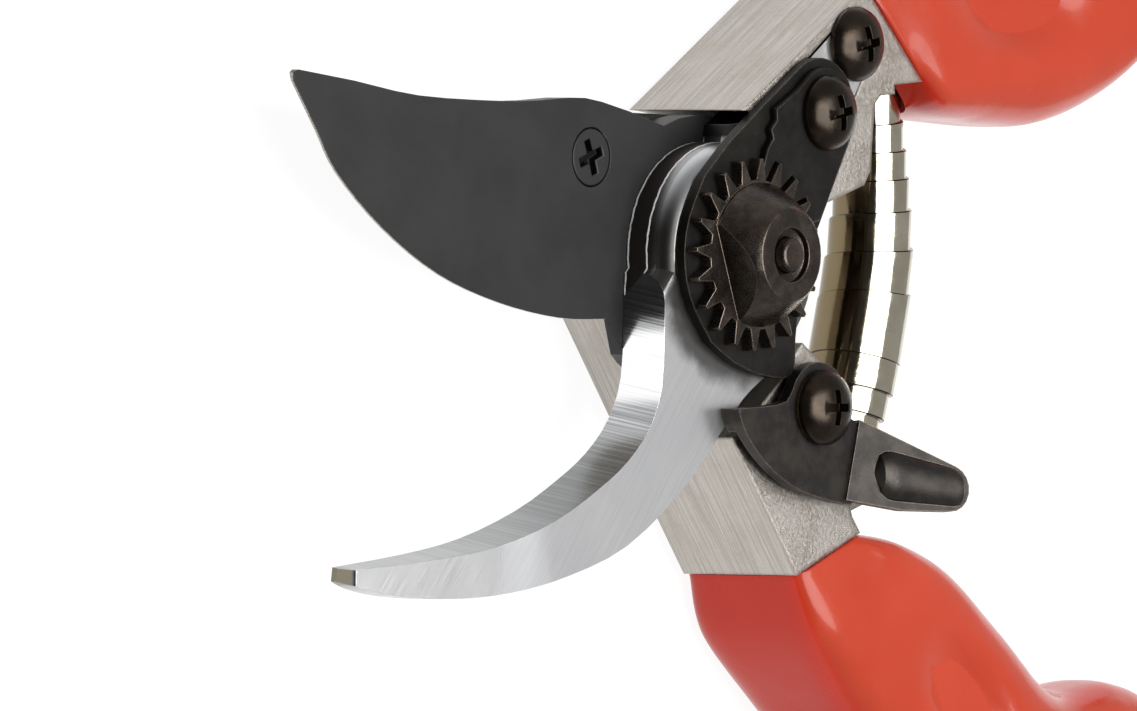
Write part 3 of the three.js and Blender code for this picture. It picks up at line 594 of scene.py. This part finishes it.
def grip(name, left, right, open_angle, material, dents):
    """A dipped grip: a skin over the handle, with a rounded lip at its mouth and smooth dents in front."""
    left, right = turned_by(left, open_angle), turned_by(right, open_angle)
    sides = 72
    steps = 130
    grip_length = 135
    mouth_at = 0.002
    end_from, end_share = 0.93, 0.075
    square_corner, round_corner = 0.28, 0.72

    def ring(s, inset, bulge=0.0):
        """A ring of points round the handle at the share s of its length, inside the skin by the inset."""
        along = mouth_at + (1 - mouth_at) * s
        t = along * (1 - inset / grip_length)
        a, b = spline(left, t), spline(right, t)
        half = (a - b).length / 2 - inset
        end = math.sqrt(max(0.0, 1 - max(0.0, (s - end_from) / end_share) ** 2))
        corner = square_corner + (round_corner - square_corner) * smoothstep(t, 0.0, 0.4)
        half_t = MOUTH_HALF_T + (GRIP_HALF_T - MOUTH_HALF_T) * smoothstep(t, 0, 0.12)
        side = (b - a).normalized()
        middle = (a + b) / 2
        verts = []
        for k in range(sides):
            angle = 2 * math.pi * k / sides
            across = squared(math.cos(angle), corner) * half * end
            up = squared(math.sin(angle), corner) * (half_t - inset) * end
            across -= math.copysign(min(abs(across), bulge), across)
            up -= math.copysign(min(abs(up), bulge), up)
            point = Vector((middle.x + side.x * across, middle.y + side.y * across, GRIP_MID_Z + up))
            if inset == 0 and up > 0:
                near_front = min(1.0, up / GRIP_HALF_T * 1.6)
                for hollow in dents:
                    point.z -= dent(point, *hollow) * near_front
            verts.append(bm.verts.new(point * MM))
        return verts

    bm = bmesh.new()
    rings = [ring(s, GRIP_T) for s in (0.92, 0.6, 0.35, 0.2, 0.1, 0.04, 0.0)]
    rings.append(ring(0.0, 0, 0.35))
    rings.append(ring(0.0008, 0, 0.1))
    rings += [ring(i / steps, 0) for i in range(1, steps + 1)]
    for lower, upper in zip(rings, rings[1:]):
        for k in range(sides):
            bm.faces.new((lower[k], lower[(k + 1) % sides], upper[(k + 1) % sides], upper[k]))
    bm.faces.new(rings[0])
    bm.faces.new(list(reversed(rings[-1])))
    bmesh.ops.recalc_face_normals(bm, faces=bm.faces)
    return to_object(name, bm, material, 50)


def dent(point, centre, radii, depth, turn):
    """How deep a smooth oval dent is at the point, seen from the front."""
    d = Matrix.Rotation(math.radians(-turn), 2) @ Vector((point.x - centre[0], point.y - centre[1]))
    r = math.hypot(d.x / radii[0], d.y / radii[1])
    return depth * (1 - smoothstep(r, 0.25, 1.0))


# Each dent: its centre, its radii, its depth and how far it is turned.
THUMB_HOLLOW = [((46, 29.5), (15, 9.5), 2.8, -6), ((43.5, 28.5), (6.5, 4), 1.1, -6)]
FINGER_HOLLOW = [((38.5, -48.5), (13, 6), 2.6, -42), ((21.2, -32.8), (2.6, 1.8), 0.35, -30)]

upper_grip = grip("upper_grip_skin", UPPER_OUTER, UPPER_INNER, UPPER_OPEN, RED, THUMB_HOLLOW)
lower_grip = grip("lower_grip_skin", LOWER_INNER, LOWER_OUTER, LOWER_OPEN, RED, FINGER_HOLLOW)


def cut_pocket(piece, centre, radius, low_y, high_y):
    """Cuts a round pocket along Y out of the piece."""
    bm = bmesh.new()
    bmesh.ops.create_cone(bm, cap_ends=True, segments=40, radius1=radius * MM, radius2=radius * MM,
                          depth=(high_y - low_y) * MM)
    mesh = bpy.data.meshes.new("pocket")
    bmesh.ops.rotate(bm, verts=bm.verts, matrix=Matrix.Rotation(math.pi / 2, 3, "X"))
    bmesh.ops.translate(bm, verts=bm.verts, vec=Vector((centre[0], (low_y + high_y) / 2, centre[1])) * MM)
    bm.to_mesh(mesh)
    bm.free()
    cutter = bpy.data.objects.new("pocket", mesh)
    bpy.context.scene.collection.objects.link(cutter)
    cut = piece.modifiers.new("pocket", "BOOLEAN")
    cut.operation = "DIFFERENCE"
    cut.object = cutter
    cut.solver = "EXACT"
    bpy.context.view_layer.update()
    done = bpy.data.meshes.new_from_object(piece.evaluated_get(bpy.context.evaluated_depsgraph_get()))
    piece.modifiers.clear()
    piece.data = done
    piece.data.set_sharp_from_angle(angle=math.radians(50))
    bpy.data.objects.remove(cutter)


cut_pocket(upper_grip, (31.7, GRIP_MID_Z), 3.6, 6, 20)
finished(upper_grip, "upper_handle", "red_grip", "upper_grip")
finished(lower_grip, "lower_handle", "red_grip", "lower_grip")


# ---------- Volute spring ----------

def volute():
    """One steel strip wound into a double cone: every turn overlaps its narrower neighbour."""
    strip = 0.45
    edge = 0.12
    overlap = 1.2
    per_turn = 40
    seam_lean = 0.6
    seam_turn = math.radians(-40)
    seams = [19.6, 15.0, 11.9, 9.0, 5.7, 1.8, -3.3, -10.2, -13.9, -16.8, -18.8, -21.9]
    radii = [3.0, 3.3, 3.65, 4.0, 4.35, 4.7, 5.0, 5.0, 4.6, 4.1, 3.8, 3.5]
    widest = 6
    turns = len(seams) - 1
    pieces = 400
    line = [spline(SPRING_LINE, i / pieces) for i in range(pieces + 1)]
    total = length(SPRING_LINE)
    reach = [0.0]
    for a, b in zip(line, line[1:]):
        reach.append(reach[-1] + (b - a).length)

    def at_y(y):
        """How far along the line it comes down to y."""
        for i in range(pieces):
            if line[i + 1].y <= y:
                return reach[i] + (line[i].y - y) / (line[i].y - line[i + 1].y) * (reach[i + 1] - reach[i])
        return total

    seam_at = [at_y(y) for y in seams]

    def sample(table, k):
        """The table's value at k, which may lie between two entries."""
        k = min(max(k, 0.0), len(table) - 1.0)
        i = min(int(k), len(table) - 2)
        return table[i] + (table[i + 1] - table[i]) * (k - i)

    def on_line(s):
        """The point this far along the line, and the line's direction there."""
        s = min(max(s, 0.0), total)
        i = next(i for i in range(pieces) if reach[i + 1] >= s)
        w = (s - reach[i]) / (reach[i + 1] - reach[i])
        point = line[i].lerp(line[i + 1], w)
        return point, (line[i + 1] - line[i]).normalized()

    bm = bmesh.new()
    rings = []
    for j in range(turns * per_turn + 1):
        angle = 2 * math.pi * j / per_turn
        k = (angle + seam_lean * (math.sin(angle - seam_turn) - math.sin(-seam_turn))) / (2 * math.pi)
        k = min(max(k, 0.0), turns)
        past_widest = smoothstep(k, widest - 0.5, widest + 0.5)
        top = sample(seam_at, k) - past_widest * overlap
        bottom = sample(seam_at, k + 1) + (1 - past_widest) * overlap
        radius = sample(radii, k)
        ring = []
        for s, r in ((top, radius - strip), (top, radius - edge), (top + edge, radius),
                     (bottom - edge, radius), (bottom, radius - edge), (bottom, radius - strip)):
            middle, along = on_line(s)
            out = Vector((-along.y, along.x))
            x = r * math.cos(angle)
            z = r * math.sin(angle)
            point = Vector((middle.x + out.x * x, middle.y + out.y * x, GRIP_MID_Z + z))
            ring.append(bm.verts.new(point * MM))
        rings.append(ring)
    for a, b in zip(rings, rings[1:]):
        for i in range(6):
            bm.faces.new((a[i], a[(i + 1) % 6], b[(i + 1) % 6], b[i]))
    bm.faces.new(rings[0])
    bm.faces.new(list(reversed(rings[-1])))
    bmesh.ops.recalc_face_normals(bm, faces=bm.faces)
    return to_object("volute_spring_strip", bm, NICKEL, 40)


spring = volute()
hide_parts("volute_spring")
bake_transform(spring)


# ---------- Studio ----------

def floor():
    bm = bmesh.new()
    size = 6.0
    cells = 12
    bmesh.ops.create_grid(bm, x_segments=cells, y_segments=cells, size=size)
    look = Look("pale_floor", Roughness=0.9, Emission_Color=(1, 1, 1, 1), Emission_Strength=0.93)
    look.set(Base_Color=look.mix(look.noise(0.01, 2.0), (0.11, 0.11, 0.11), (0.13, 0.13, 0.13)))
    piece = to_object("floor", bm, look.material)
    piece.location.z = -0.1 * MM
    piece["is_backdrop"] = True


def softbox(name, place, target, size, power):
    light = bpy.data.lights.new(name, "AREA")
    light.shape = "RECTANGLE"
    light.size, light.size_y = size
    light.energy = power
    lamp = bpy.data.objects.new(name, light)
    bpy.context.scene.collection.objects.link(lamp)
    lamp.location = place
    lamp.rotation_euler = (Vector(target) - Vector(place)).to_track_quat("-Z", "Y").to_euler()


def studio_world():
    """Soft light from all round, and much darker low down on the jaws' side."""
    world = bpy.data.worlds.new("studio")
    world.use_nodes = True
    bpy.context.scene.world = world
    tree = world.node_tree
    background = tree.nodes["Background"]
    background.inputs["Color"].default_value = (1.0, 0.99, 0.975, 1)
    direction = tree.nodes.new("ShaderNodeTexCoord").outputs["Generated"]
    dot = tree.nodes.new("ShaderNodeVectorMath")
    dot.operation = "DOT_PRODUCT"
    tree.links.new(direction, dot.inputs[0])
    dot.inputs[1].default_value = Vector((-0.97, 0.0, 0.25)).normalized()
    shade = tree.nodes.new("ShaderNodeMapRange")
    shade.interpolation_type = "SMOOTHSTEP"
    tree.links.new(dot.outputs["Value"], shade.inputs["Value"])
    for key, value in (("From Min", 0.45), ("From Max", 0.76), ("To Min", 0.45), ("To Max", 0.06)):
        shade.inputs[key].default_value = value
    tree.links.new(shade.outputs["Result"], background.inputs["Strength"])


def camera():
    """Looks from the jaws' side, 40 degrees above the plane of the shears, through a very long lens."""
    across = 121 * MM
    lens = 1000.0
    sensor = 36.0
    right = Vector((0.64, 0.006, 0.768)).normalized()
    up = Vector((0.0, 1.0, -0.008))
    up = (up - right * up.dot(right)).normalized()
    towards = right.cross(up)
    data = bpy.data.cameras.new("camera")
    data.lens = lens
    data.sensor_width = sensor
    data.clip_end = 100
    pivot = Vector((0, 0, 11.8)) * MM
    centre = pivot - right * 13.9 * MM - up * 10.8 * MM + towards * 12 * MM
    view = bpy.data.objects.new("camera", data)
    bpy.context.scene.collection.objects.link(view)
    matrix = Matrix((right, up, towards)).transposed().to_4x4()
    matrix.translation = centre + towards * (lens / sensor * across)
    view.matrix_world = matrix
    bpy.context.scene.camera = view


floor()
studio_world()
softbox("overhead", (-0.05, 0.0, 0.6), (-0.02, 0, 0), (0.50, 0.62), 7.0)
camera()
bpy.context.scene.view_settings.view_transform = "Standard"

visual_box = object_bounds()
sizes = {"cad": [list(corner) for corner in cad_box], "visual": [list(corner) for corner in visual_box]}
